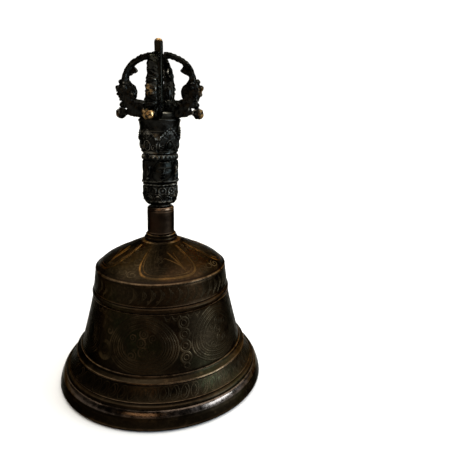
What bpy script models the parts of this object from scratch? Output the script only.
"""Tibetan hand bell (ghanta) with a makara-prong handle and a hanging clapper.

Frame: metres, +Z up.  The origin lies on the table at the centre of the rim and the bell's axis
is Z.  The four curved prongs stand at the 45 degree directions between the axes, and the deity's
face on the handle looks between -Y and the front left prong.  Everything above the crown is a
stack of bored castings that the tie rod pulls down onto the bell; inside, the clapper hangs from
the rod's eye by one ring.
"""

import math

import bmesh
import bpy
from mathutils import Matrix, Vector

MM = 0.001

# --- Clearances ---------------------------------------------------------------------------------
SEAT_GAP = 0.3 * MM  # between two pieces that rest on each other
BORE_CLEARANCE = 0.35 * MM  # around the tie rod, all the way up
RING_CLEARANCE = 0.1 * MM  # play between two linked rings

# --- Bell cup -----------------------------------------------------------------------------------
RIM_RADIUS = 50.0 * MM
BELL_HEIGHT = 69.4 * MM  # rim to the flat seat under the collar
LIP_THICKNESS = 5.2 * MM
WALL = 2.7 * MM  # waist and upper band
DOME_THICKNESS = 3.0 * MM
CROWN_THICKNESS = 3.2 * MM  # flat disc around the rod hole
CROWN_SEAT_MARGIN = 0.6 * MM  # flat seat beyond the collar
RIM_BAND_HEIGHT = 5.6 * MM  # plain band above the lip
RIM_BAND_TAPER = 1.0 * MM
LIP_ROUND = 1.2 * MM
COVE_TOP_HEIGHT = 8.1 * MM
COVE_INSET = 2.4 * MM  # rim radius to the foot of the round moulding
MOULDING_TOP_HEIGHT = 9.95 * MM
MOULDING_INSET = 4.6 * MM
MOULDING_BULGE = 0.55 * MM
RIDGE_HEIGHT = 16.0 * MM  # under side of the ridge
RIDGE_TOP_HEIGHT = 19.2 * MM
RIDGE_INSET = 8.4 * MM
RIDGE_TOP_INSET = 10.8 * MM
RIDGE_STAND = 0.55 * MM
FLARE_SAG = 0.35 * MM
WAIST_TOP_RADIUS = 33.3 * MM
WAIST_POWER = 1.12  # 1 is a straight cone, more is hollower
BEAD_DEPTH = 12.0 * MM  # shoulder edge down to the bead's middle
BEAD_HEIGHT = 3.2 * MM
BEAD_BULGE = 0.8 * MM
BAND_FOOT_RADIUS = 32.9 * MM
SHOULDER_RADIUS = 31.8 * MM
SHOULDER_ROUND = 0.9 * MM
DOME_RISE = 11.9 * MM
DOME_ROUNDING = 0.17  # share of the rise that curls over at the shoulder
DOME_ROUNDING_POWER = 8

# --- Collar and sleeve --------------------------------------------------------------------------
COLLAR_RADIUS = 8.1 * MM
COLLAR_STEP = 0.75 * MM
COLLAR_HEIGHT = 2.6 * MM
SLEEVE_RADIUS = 6.55 * MM
SLEEVE_HEIGHT = 13.1 * MM
SLEEVE_LIP_HEIGHT = 1.7 * MM
SLEEVE_GROOVE = 0.35 * MM

# --- Handle castings ----------------------------------------------------------------------------
VASE_NECK_RADIUS = 5.1 * MM
VASE_NECK_HEIGHT = 1.1 * MM
VASE_RADIUS = 8.5 * MM
VASE_HEIGHT = 11.7 * MM
VASE_BELLY_HEIGHT = 6.0 * MM  # where the belly first reaches its full radius
FACE_DRUM_RADIUS = 8.1 * MM
FACE_DRUM_HEIGHT = 13.5 * MM
FACE_STAND = 0.9 * MM  # how far the face stands out of the drum
FACE_HALF_WIDTH = 5.0 * MM
FACE_ASIDE = math.radians(21.5)  # from -Y towards the front left prong
BROW_RING_STAND = 0.8 * MM
BROW_RING_HEIGHT = 2.6 * MM
CROWN_FOOT_RADIUS = 8.9 * MM
CROWN_TOP_RADIUS = 10.2 * MM
CROWN_HEIGHT = 9.8 * MM
LEAF_COUNT = 5
LEAF_RELIEF = 0.45 * MM
SEAT_RADIUS = 10.2 * MM
SEAT_HEIGHT = 6.5 * MM
SEAT_EDGE = 0.7 * MM
SEAT_BORE_DEPTH = 4.0 * MM

# --- Prongs -------------------------------------------------------------------------------------
SPINDLE_SIDE = 3.7 * MM
SPINDLE_FOOT_SIDE = 4.0 * MM
SPINDLE_HEIGHT = 36.7 * MM
SPINDLE_TIP_ROUND = 0.9 * MM
PRONG_COUNT = 4
CAGE_RADIUS = 20.7 * MM
CAGE_HEIGHT = 30.2 * MM  # seat to the top of the arcs
PRONG_ROOT_RADIUS = 3.7 * MM
CURL_RADIUS = 2.7 * MM

# --- Tie rod, ring and clapper ------------------------------------------------------------------
ROD_RADIUS = 2.5 * MM
WASHER_RADIUS = 6.0 * MM
WASHER_THICKNESS = 1.5 * MM
ROD_SHOULDER_RADIUS = 3.8 * MM
ROD_SHOULDER_HEIGHT = 1.2 * MM
EYE_RADIUS = 3.4 * MM  # middle of the wire
EYE_WIRE_RADIUS = 1.3 * MM
EYE_SINK = 0.6 * MM  # how far an eye's wire runs into what carries it
LINK_RADIUS = 4.0 * MM
LINK_WIRE_RADIUS = 1.0 * MM
CLAPPER_EYE_RADIUS = 3.4 * MM
CLAPPER_EYE_WIRE_RADIUS = 1.2 * MM
CLAPPER_STEM_RADIUS = 1.5 * MM
CLAPPER_RIM_CLEARANCE = 6.0 * MM
BOB_RADIUS = 7.0 * MM
BOB_HEIGHT = 16.0 * MM

# --- Facets -------------------------------------------------------------------------------------
BELL_SEGMENTS = 48
HANDLE_SEGMENTS = 28
CROWN_SEGMENTS = 48
WIRE_SIDES = 10
SMOOTH_ANGLE = math.radians(40)

# --- Heights that follow from the sizes above ---------------------------------------------------
SHOULDER_HEIGHT = BELL_HEIGHT - DOME_RISE
BORE_RADIUS = ROD_RADIUS + BORE_CLEARANCE
COLLAR_FOOT = BELL_HEIGHT + SEAT_GAP
SLEEVE_FOOT = COLLAR_FOOT + COLLAR_HEIGHT + SEAT_GAP
VASE_FOOT = SLEEVE_FOOT + SLEEVE_HEIGHT + SEAT_GAP
DRUM_FOOT = VASE_FOOT + VASE_HEIGHT + SEAT_GAP
CROWN_FOOT = DRUM_FOOT + FACE_DRUM_HEIGHT + SEAT_GAP
SEAT_FOOT = CROWN_FOOT + CROWN_HEIGHT + SEAT_GAP
PRONG_FOOT = SEAT_FOOT + SEAT_HEIGHT + SEAT_GAP
ROD_TOP = SEAT_FOOT + SEAT_BORE_DEPTH - SEAT_GAP
CROWN_UNDERSIDE = BELL_HEIGHT - CROWN_THICKNESS
WASHER_TOP = CROWN_UNDERSIDE - SEAT_GAP
SHOULDER_TOP = WASHER_TOP - WASHER_THICKNESS - SEAT_GAP
EYE_CENTRE = SHOULDER_TOP - ROD_SHOULDER_HEIGHT + EYE_SINK - EYE_RADIUS - EYE_WIRE_RADIUS
LINK_PIVOT = EYE_CENTRE - EYE_RADIUS + EYE_WIRE_RADIUS + LINK_WIRE_RADIUS + RING_CLEARANCE
LINK_FOOT = LINK_PIVOT - 2 * LINK_RADIUS
CLAPPER_PIVOT = LINK_FOOT + LINK_WIRE_RADIUS + CLAPPER_EYE_WIRE_RADIUS + RING_CLEARANCE


def clear_scene():
    for old in list(bpy.data.objects):
        bpy.data.objects.remove(old, do_unlink=True)


def material(name, colour, roughness, metallic=1.0):
    made = bpy.data.materials.new(name)
    made.use_nodes = True
    shader = made.node_tree.nodes["Principled BSDF"]
    shader.inputs["Base Color"].default_value = (*colour, 1.0)
    shader.inputs["Roughness"].default_value = roughness
    shader.inputs["Metallic"].default_value = metallic
    return made


def finish(name, bm, finish_material, location=(0, 0, 0)):
    """Turns a bmesh into a named object with outward faces and smooth round sides."""
    bmesh.ops.recalc_face_normals(bm, faces=bm.faces)
    mesh = bpy.data.meshes.new(name)
    bm.to_mesh(mesh)
    bm.free()
    mesh.shade_smooth()
    mesh.set_sharp_from_angle(angle=SMOOTH_ANGLE)
    mesh.materials.append(finish_material)
    made = bpy.data.objects.new(name, mesh)
    made.location = location
    bpy.context.collection.objects.link(made)
    return made


def spin_outline(outline, segments, closed):
    """Spins an outline of (radius, height) points round Z; an open one starts and ends on the axis."""
    bm = bmesh.new()
    corners = [bm.verts.new((r, 0, z)) for r, z in outline]
    pairs = list(zip(corners, corners[1:]))
    if closed:
        pairs.append((corners[-1], corners[0]))
    edges = [bm.edges.new(pair) for pair in pairs]
    bmesh.ops.spin(
        bm,
        geom=corners + edges,
        cent=(0, 0, 0),
        axis=(0, 0, 1),
        angle=2 * math.pi,
        steps=segments,
        use_merge=True,
    )
    bmesh.ops.remove_doubles(bm, verts=bm.verts, dist=0.001 * MM)
    return bm


def torus(radius, wire_radius, steps, turn):
    """A ring of round wire in the XZ plane, turned by the given matrix."""
    bm = bmesh.new()
    section = bmesh.ops.create_circle(
        bm,
        segments=WIRE_SIDES,
        radius=wire_radius,
        matrix=Matrix.Translation((radius, 0, 0)),
    )
    edges = [edge for edge in bm.edges]
    bmesh.ops.spin(
        bm,
        geom=section["verts"] + edges,
        cent=(0, 0, 0),
        axis=(0, 1, 0),
        angle=2 * math.pi,
        steps=steps,
        use_merge=True,
    )
    bmesh.ops.remove_doubles(bm, verts=bm.verts, dist=0.001 * MM)
    bmesh.ops.transform(bm, matrix=turn, verts=bm.verts)
    return bm


def unite(base, others):
    """Joins the other objects into the base with exact unions and removes them."""
    for other in others:
        union = base.modifiers.new("union", "BOOLEAN")
        union.operation = "UNION"
        union.solver = "EXACT"
        union.object = other
    bpy.context.view_layer.update()
    evaluated = base.evaluated_get(bpy.context.evaluated_depsgraph_get())
    mesh = bpy.data.meshes.new_from_object(evaluated)
    base.modifiers.clear()
    base.data = mesh
    mesh.name = base.name
    mesh.shade_smooth()
    mesh.set_sharp_from_angle(angle=SMOOTH_ANGLE)
    for other in others:
        bpy.data.objects.remove(other, do_unlink=True)
    return base


def steps_between(low, high, count):
    """The count - 1 values that lie evenly between low and high."""
    return [low + (high - low) * i / count for i in range(1, count)]


# --- Bell cup -----------------------------------------------------------------------------------


def dome_height(radius, seat_radius):
    """Outer surface of the dome: a gentle cone that curls over at the shoulder."""
    edge = SHOULDER_RADIUS - SHOULDER_ROUND
    u = (radius - seat_radius) / (edge - seat_radius)
    fall = (1 - DOME_ROUNDING) * u + DOME_ROUNDING * u**DOME_ROUNDING_POWER
    return BELL_HEIGHT - DOME_RISE * fall


def waist_top_height():
    return SHOULDER_HEIGHT - BEAD_DEPTH - BEAD_HEIGHT / 2


def waist_radius(height):
    """Outer radius of the waist, hollow between the bead and the ridge."""
    foot = RIM_RADIUS - RIDGE_TOP_INSET
    t = (waist_top_height() - height) / (waist_top_height() - RIDGE_TOP_HEIGHT)
    return WAIST_TOP_RADIUS + (foot - WAIST_TOP_RADIUS) * max(t, 0.0) ** WAIST_POWER


def outer_outline(seat_radius):
    """The bell's outside from the lip up to the crown seat."""
    points = [
        (RIM_RADIUS - LIP_ROUND, 0),
        (RIM_RADIUS - 0.3 * LIP_ROUND, 0.3 * LIP_ROUND),
        (RIM_RADIUS, LIP_ROUND),
        (RIM_RADIUS - RIM_BAND_TAPER, RIM_BAND_HEIGHT),
        (RIM_RADIUS - COVE_INSET, COVE_TOP_HEIGHT),
    ]
    for a in (0.25, 0.5, 0.75):
        r = RIM_RADIUS - COVE_INSET - (MOULDING_INSET - COVE_INSET) * a
        z = COVE_TOP_HEIGHT + (MOULDING_TOP_HEIGHT - COVE_TOP_HEIGHT) * a
        swell = MOULDING_BULGE * math.sin(math.pi * a)
        points.append((r + swell, z + 0.5 * swell))
    points.append((RIM_RADIUS - MOULDING_INSET, MOULDING_TOP_HEIGHT))
    for a in (0.33, 0.67):
        r = RIM_RADIUS - MOULDING_INSET - (RIDGE_INSET - MOULDING_INSET) * a
        z = MOULDING_TOP_HEIGHT + (RIDGE_HEIGHT - MOULDING_TOP_HEIGHT) * a
        points.append((r - FLARE_SAG * math.sin(math.pi * a), z))
    points.append((RIM_RADIUS - RIDGE_INSET, RIDGE_HEIGHT))
    rise = RIDGE_TOP_HEIGHT - RIDGE_HEIGHT
    points.append((RIM_RADIUS - RIDGE_INSET + RIDGE_STAND, RIDGE_HEIGHT + 0.25 * rise))
    points.append((RIM_RADIUS - RIDGE_INSET + 0.3 * RIDGE_STAND, RIDGE_HEIGHT + 0.6 * rise))
    for z in [RIDGE_TOP_HEIGHT] + steps_between(RIDGE_TOP_HEIGHT, waist_top_height(), 6):
        points.append((waist_radius(z), z))
    points.append((WAIST_TOP_RADIUS, waist_top_height()))
    for a in (0.3, 0.7):
        r = WAIST_TOP_RADIUS + (BAND_FOOT_RADIUS - WAIST_TOP_RADIUS) * a
        points.append((r + BEAD_BULGE, waist_top_height() + BEAD_HEIGHT * a))
    points.append((BAND_FOOT_RADIUS, waist_top_height() + BEAD_HEIGHT))
    points.append((SHOULDER_RADIUS, SHOULDER_HEIGHT - SHOULDER_ROUND))
    edge = SHOULDER_RADIUS - SHOULDER_ROUND
    dome = [edge] + steps_between(edge, seat_radius, 6)
    points += [(r, dome_height(r, seat_radius)) for r in dome]
    points.append((seat_radius, BELL_HEIGHT))
    return points


def inner_outline(seat_radius):
    """The bell's inside from the crown down to the lip."""
    points = [(seat_radius, CROWN_UNDERSIDE)]
    inner_edge = SHOULDER_RADIUS - WALL - SHOULDER_ROUND
    for r in steps_between(seat_radius, inner_edge, 4) + [inner_edge]:
        points.append((r, dome_height(r, seat_radius) - DOME_THICKNESS))
    points.append((SHOULDER_RADIUS - WALL, SHOULDER_HEIGHT - DOME_THICKNESS - SHOULDER_ROUND))
    for z in [waist_top_height()] + steps_between(waist_top_height(), RIDGE_TOP_HEIGHT, 5):
        points.append((waist_radius(z) - WALL, z))
    top = waist_radius(RIDGE_TOP_HEIGHT) - WALL
    foot = RIM_RADIUS - LIP_THICKNESS
    for a in (0.0, 0.33, 0.67):
        points.append((top + (foot - top) * a, RIDGE_TOP_HEIGHT * (1 - a)))
    points.append((foot, LIP_ROUND))
    points.append((foot + 0.5 * LIP_ROUND, 0))
    return points


def make_bell_cup(bronze):
    seat_radius = COLLAR_RADIUS + CROWN_SEAT_MARGIN
    hole = [(BORE_RADIUS, BELL_HEIGHT), (BORE_RADIUS, CROWN_UNDERSIDE)]
    outline = outer_outline(seat_radius) + hole + inner_outline(seat_radius)
    finish("bell_cup", spin_outline(outline, BELL_SEGMENTS, True), bronze)


# --- Collar and sleeve --------------------------------------------------------------------------


def make_neck_collar(bronze):
    step_radius = COLLAR_RADIUS - COLLAR_STEP
    half = COLLAR_HEIGHT / 2
    outline = [
        (BORE_RADIUS, COLLAR_FOOT),
        (COLLAR_RADIUS, COLLAR_FOOT),
        (COLLAR_RADIUS, COLLAR_FOOT + half - 0.2 * MM),
        (step_radius + 0.1 * MM, COLLAR_FOOT + half),
        (step_radius, COLLAR_FOOT + half + 0.2 * MM),
        (step_radius, COLLAR_FOOT + COLLAR_HEIGHT - 0.3 * MM),
        (step_radius - 0.3 * MM, COLLAR_FOOT + COLLAR_HEIGHT),
        (BORE_RADIUS, COLLAR_FOOT + COLLAR_HEIGHT),
    ]
    finish("neck_collar", spin_outline(outline, HANDLE_SEGMENTS, True), bronze)


def make_handle_sleeve(bronze):
    top = SLEEVE_FOOT + SLEEVE_HEIGHT
    lip = top - SLEEVE_LIP_HEIGHT
    outline = [
        (BORE_RADIUS, SLEEVE_FOOT),
        (SLEEVE_RADIUS, SLEEVE_FOOT),
        (SLEEVE_RADIUS, lip - SLEEVE_GROOVE),
        (SLEEVE_RADIUS - SLEEVE_GROOVE, lip),
        (SLEEVE_RADIUS, lip + SLEEVE_GROOVE),
        (SLEEVE_RADIUS, top - SLEEVE_GROOVE),
        (SLEEVE_RADIUS - SLEEVE_GROOVE, top),
        (BORE_RADIUS, top),
    ]
    finish("handle_sleeve", spin_outline(outline, HANDLE_SEGMENTS, True), bronze)


# --- Handle castings ----------------------------------------------------------------------------


def make_vase_base(brass):
    """Round-bottomed vase: a neck, a quarter-ellipse belly, then a straight wall."""
    points = [(BORE_RADIUS, VASE_FOOT), (VASE_NECK_RADIUS, VASE_FOOT)]
    points.append((VASE_NECK_RADIUS, VASE_FOOT + VASE_NECK_HEIGHT))
    rise = VASE_BELLY_HEIGHT - VASE_NECK_HEIGHT
    for i in range(1, 6):
        turn = math.pi / 2 * i / 5
        r = VASE_NECK_RADIUS + (VASE_RADIUS - VASE_NECK_RADIUS) * math.sin(turn)
        z = VASE_FOOT + VASE_NECK_HEIGHT + rise * (1 - math.cos(turn))
        points.append((r, z))
    top = VASE_FOOT + VASE_HEIGHT
    points.append((VASE_RADIUS, top - 0.8 * MM))
    points.append((VASE_RADIUS - 0.5 * MM, top))
    points.append((BORE_RADIUS, top))
    finish("vase_base", spin_outline(points, HANDLE_SEGMENTS, True), brass)


def make_face_drum(brass):
    """The deity's head: a drum under a brow ring, with the front swelled into a plain face."""
    top = DRUM_FOOT + FACE_DRUM_HEIGHT
    brow = top - BROW_RING_HEIGHT
    points = [
        (BORE_RADIUS, DRUM_FOOT),
        (FACE_DRUM_RADIUS - 0.4 * MM, DRUM_FOOT),
        (FACE_DRUM_RADIUS, DRUM_FOOT + 0.6 * MM),
    ]
    points += [(FACE_DRUM_RADIUS, z) for z in steps_between(DRUM_FOOT, brow, 6)[1:]]
    points.append((FACE_DRUM_RADIUS, brow - 0.3 * MM))
    points.append((FACE_DRUM_RADIUS + BROW_RING_STAND, brow + 0.4 * MM))
    points.append((FACE_DRUM_RADIUS + BROW_RING_STAND, top - 0.4 * MM))
    points.append((FACE_DRUM_RADIUS, top))
    points.append((BORE_RADIUS, top))
    bm = spin_outline(points, HANDLE_SEGMENTS, True)
    middle = (DRUM_FOOT + brow) / 2
    half_height = (brow - DRUM_FOOT) / 2
    for corner in bm.verts:
        sideways = corner.co.x / FACE_HALF_WIDTH
        upright = (corner.co.z - middle) / half_height
        inside = 1 - sideways**2 - upright**2
        if corner.co.y < -0.5 * FACE_DRUM_RADIUS and inside > 0:
            corner.co.y -= FACE_STAND * math.sqrt(inside)
    bmesh.ops.rotate(bm, verts=bm.verts, matrix=Matrix.Rotation(-FACE_ASIDE, 3, "Z"))
    finish("face_drum", bm, brass)


def make_leaf_crown(brass):
    """A flared cup whose wall swells into one lobe for each crown leaf."""
    top = CROWN_FOOT + CROWN_HEIGHT
    points = [(BORE_RADIUS, CROWN_FOOT), (CROWN_FOOT_RADIUS - 0.3 * MM, CROWN_FOOT)]
    for i in range(5):
        a = i / 4
        r = CROWN_FOOT_RADIUS + (CROWN_TOP_RADIUS - CROWN_FOOT_RADIUS) * a**0.7
        points.append((r, CROWN_FOOT + 0.4 * MM + (CROWN_HEIGHT - 0.8 * MM) * a))
    points.append((CROWN_TOP_RADIUS - 0.4 * MM, top))
    points.append((BORE_RADIUS, top))
    bm = spin_outline(points, CROWN_SEGMENTS, True)
    for corner in bm.verts:
        radius = math.hypot(corner.co.x, corner.co.y)
        if radius < CROWN_FOOT_RADIUS - 0.1 * MM:
            continue
        around = math.atan2(corner.co.y, corner.co.x)
        lobe = abs(math.cos(LEAF_COUNT / 2 * (around + math.pi / 2)))
        stretch = (radius - LEAF_RELIEF * (1 - lobe)) / radius
        corner.co.x *= stretch
        corner.co.y *= stretch
    finish("leaf_crown", bm, brass)


def make_prong_seat(brass):
    """Plain drum under the prongs, with a blind bore for the end of the tie rod."""
    top = SEAT_FOOT + SEAT_HEIGHT
    outline = [
        (0, SEAT_FOOT + SEAT_BORE_DEPTH),
        (BORE_RADIUS, SEAT_FOOT + SEAT_BORE_DEPTH),
        (BORE_RADIUS, SEAT_FOOT),
        (SEAT_RADIUS - 0.3 * MM, SEAT_FOOT),
        (SEAT_RADIUS, SEAT_FOOT + 0.3 * MM),
        (SEAT_RADIUS, top - SEAT_EDGE),
        (SEAT_RADIUS - 0.3 * SEAT_EDGE, top - 0.3 * SEAT_EDGE),
        (SEAT_RADIUS - SEAT_EDGE, top),
        (0, top),
    ]
    finish("prong_seat", spin_outline(outline, HANDLE_SEGMENTS, False), brass)


# --- Prongs -------------------------------------------------------------------------------------


def make_center_prong(brass):
    """Square spindle, a little thicker at its foot and rounded off at its tip."""
    bm = bmesh.new()
    bmesh.ops.create_cube(bm, size=1.0)
    for corner in bm.verts:
        high = corner.co.z > 0
        side = SPINDLE_SIDE if high else SPINDLE_FOOT_SIDE
        corner.co.x *= side
        corner.co.y *= side
        corner.co.z = SPINDLE_HEIGHT if high else 0
    tip = [edge for edge in bm.edges if all(v.co.z > SPINDLE_HEIGHT / 2 for v in edge.verts)]
    bmesh.ops.bevel(bm, geom=tip, offset=SPINDLE_TIP_ROUND, segments=3, affect="EDGES", profile=0.5)
    quarter = Matrix.Rotation(math.pi / 4, 4, "Z")
    bmesh.ops.transform(bm, matrix=quarter, verts=bm.verts)
    finish("center_prong", bm, brass, (0, 0, PRONG_FOOT))


def prong_stations():
    """Middle line of a prong, from its root to its tip: radius, height above the seat, half the
    thickness along the line's normal, half the width across."""
    tip_radius = SPINDLE_SIDE / 2 + SEAT_GAP + 0.15 * MM
    shape = [
        (PRONG_ROOT_RADIUS / CAGE_RADIUS, 0.141, 4.6, 2.5),
        (0.36, 0.141, 4.6, 2.6),
        (0.50, 0.150, 4.4, 2.9),
        (0.61, 0.185, 4.1, 3.0),
        (0.69, 0.265, 4.3, 3.0),
        (0.735, 0.355, 4.6, 3.1),
        (0.765, 0.440, 4.8, 3.1),
        (0.790, 0.515, 3.6, 2.9),
        (0.790, 0.570, 1.8, 2.4),
        (0.775, 0.635, 1.35, 2.2),
        (0.745, 0.700, 1.3, 2.1),
        (0.680, 0.785, 1.3, 2.1),
        (0.585, 0.860, 1.3, 2.1),
        (0.450, 0.915, 1.3, 2.0),
        (0.290, 0.945, 1.4, 1.9),
        (tip_radius / CAGE_RADIUS, 0.948, 1.5, 1.5),
    ]
    return [(r * CAGE_RADIUS, z * CAGE_HEIGHT, t * MM, w * MM) for r, z, t, w in shape]


def loft(stations, sides):
    """A closed tube of oval sections along a line in the XZ plane."""
    bm = bmesh.new()
    middles = [Vector((r, 0, z)) for r, z, _, _ in stations]
    rings = []
    for i, (_, _, thick, wide) in enumerate(stations):
        ahead = middles[min(i + 1, len(middles) - 1)] - middles[max(i - 1, 0)]
        if i == 0 or i == len(stations) - 1:
            ahead = Vector((1, 0, 0)) * (1 if i == 0 else -1)
        ahead.normalize()
        outward = Vector((-ahead.z, 0, ahead.x))
        ring = []
        for k in range(sides):
            turn = 2 * math.pi * (k + 0.5) / sides
            offset = outward * thick * math.cos(turn) + Vector((0, 1, 0)) * wide * math.sin(turn)
            ring.append(bm.verts.new(middles[i] + offset))
        rings.append(ring)
    for low, high in zip(rings, rings[1:]):
        for k in range(sides):
            bm.faces.new((low[k], low[(k + 1) % sides], high[(k + 1) % sides], high[k]))
    bm.faces.new(rings[0])
    bm.faces.new(rings[-1])
    return bm


def slab(outline, half_width):
    """A flat outline of (radius, height) points, extruded to both sides of the XZ plane."""
    bm = bmesh.new()
    face = bm.faces.new([bm.verts.new((r, -half_width, z)) for r, z in outline])
    grown = bmesh.ops.extrude_face_region(bm, geom=[face])["geom"]
    moved = [v for v in grown if isinstance(v, bmesh.types.BMVert)]
    bmesh.ops.translate(bm, vec=(0, 2 * half_width, 0), verts=moved)
    return bm


def make_prong_mesh(brass):
    """One makara prong in the XZ plane: arm, head and arc, with a curl below and a barb inside."""
    base = finish("makara_prong", loft(prong_stations(), 8), brass)
    curl_bm = bmesh.new()
    bmesh.ops.create_icosphere(curl_bm, subdivisions=2, radius=CURL_RADIUS)
    bmesh.ops.translate(
        curl_bm, vec=(CAGE_RADIUS - CURL_RADIUS, 0, 0.14 * CAGE_HEIGHT), verts=curl_bm.verts
    )
    barb_outline = [(0.61, 0.83), (0.505, 0.73), (0.515, 0.695), (0.75, 0.62), (0.76, 0.69)]
    barb_points = [(r * CAGE_RADIUS, z * CAGE_HEIGHT) for r, z in barb_outline]
    curl = finish("curl", curl_bm, brass)
    barb = finish("barb", slab(barb_points, 1.1 * MM), brass)
    unite(base, [curl, barb])
    mesh = base.data
    bpy.data.objects.remove(base, do_unlink=True)
    return mesh


def make_makara_prongs(brass):
    mesh = make_prong_mesh(brass)
    sides = ("back_right", "back_left", "front_left", "front_right")
    for i, side in enumerate(sides):
        prong = bpy.data.objects.new("makara_prong_" + side, mesh)
        prong.location = (0, 0, PRONG_FOOT)
        prong.rotation_euler = (0, 0, math.pi / 4 + 2 * math.pi * i / PRONG_COUNT)
        bpy.context.collection.objects.link(prong)


# --- Tie rod, ring and clapper ------------------------------------------------------------------

FACING_X = Matrix.Rotation(math.pi / 2, 4, "Z")  # turns a ring from the XZ to the YZ plane


def make_tie_rod(iron):
    """Rod through the whole handle, with a shoulder under the washer and an eye at its foot."""
    shoulder_foot = SHOULDER_TOP - ROD_SHOULDER_HEIGHT
    outline = [
        (0, shoulder_foot),
        (ROD_SHOULDER_RADIUS - 0.3 * MM, shoulder_foot),
        (ROD_SHOULDER_RADIUS, shoulder_foot + 0.3 * MM),
        (ROD_SHOULDER_RADIUS, SHOULDER_TOP),
        (ROD_RADIUS, SHOULDER_TOP),
        (ROD_RADIUS, ROD_TOP - 0.4 * MM),
        (ROD_RADIUS - 0.4 * MM, ROD_TOP),
        (0, ROD_TOP),
    ]
    rod = finish("tie_rod", spin_outline(outline, 16, False), iron)
    eye_bm = torus(EYE_RADIUS, EYE_WIRE_RADIUS, 24, FACING_X)
    unite(rod, [finish("eye", eye_bm, iron, (0, 0, EYE_CENTRE))])


def make_crown_washer(iron):
    foot = WASHER_TOP - WASHER_THICKNESS
    outline = [
        (BORE_RADIUS, foot),
        (WASHER_RADIUS - 0.3 * MM, foot),
        (WASHER_RADIUS, foot + 0.3 * MM),
        (WASHER_RADIUS, WASHER_TOP),
        (BORE_RADIUS, WASHER_TOP),
    ]
    finish("crown_washer", spin_outline(outline, HANDLE_SEGMENTS, True), iron)


def make_hanger_link(iron):
    """Closed ring in the XZ plane; its origin is its pivot in the rod's eye."""
    drop = Matrix.Translation((0, 0, -LINK_RADIUS))
    bm = torus(LINK_RADIUS, LINK_WIRE_RADIUS, 28, drop)
    finish("hanger_link", bm, iron, (0, 0, LINK_PIVOT))


def make_clapper(iron):
    """Eye, tapering stem and drop-shaped bob; the origin is the pivot on the ring."""
    eye_foot = -2 * CLAPPER_EYE_RADIUS - CLAPPER_EYE_WIRE_RADIUS + EYE_SINK
    foot = CLAPPER_RIM_CLEARANCE - CLAPPER_PIVOT
    bob_top = foot + BOB_HEIGHT
    outline = [(0, eye_foot), (CLAPPER_STEM_RADIUS, eye_foot), (CLAPPER_STEM_RADIUS, bob_top)]
    steps = 8
    for i in range(1, steps):
        a = i / steps
        swell = math.sin(math.pi * a**1.5) ** 0.8
        r = CLAPPER_STEM_RADIUS * (1 - a) + (BOB_RADIUS - 0.4 * CLAPPER_STEM_RADIUS) * swell
        outline.append((r, bob_top - BOB_HEIGHT * a))
    outline += [(CLAPPER_STEM_RADIUS, foot), (0, foot)]
    clapper = finish("clapper", spin_outline(outline, 20, False), iron, (0, 0, CLAPPER_PIVOT))
    eye_bm = torus(CLAPPER_EYE_RADIUS, CLAPPER_EYE_WIRE_RADIUS, 24, FACING_X)
    eye = finish("eye", eye_bm, iron, (0, 0, CLAPPER_PIVOT - CLAPPER_EYE_RADIUS))
    unite(clapper, [eye])


def main():
    clear_scene()
    bell_bronze = material("bell_bronze", (0.10, 0.065, 0.045), 0.38)
    sleeve_bronze = material("sleeve_bronze", (0.16, 0.11, 0.08), 0.35)
    handle_brass = material("handle_brass", (0.075, 0.07, 0.06), 0.45)
    iron = material("iron", (0.09, 0.08, 0.075), 0.6)
    make_bell_cup(bell_bronze)
    make_neck_collar(sleeve_bronze)
    make_handle_sleeve(sleeve_bronze)
    make_vase_base(handle_brass)
    make_face_drum(handle_brass)
    make_leaf_crown(handle_brass)
    make_prong_seat(handle_brass)
    make_center_prong(handle_brass)
    make_makara_prongs(handle_brass)
    make_tie_rod(iron)
    make_crown_washer(iron)
    make_hanger_link(iron)
    make_clapper(iron)


main()
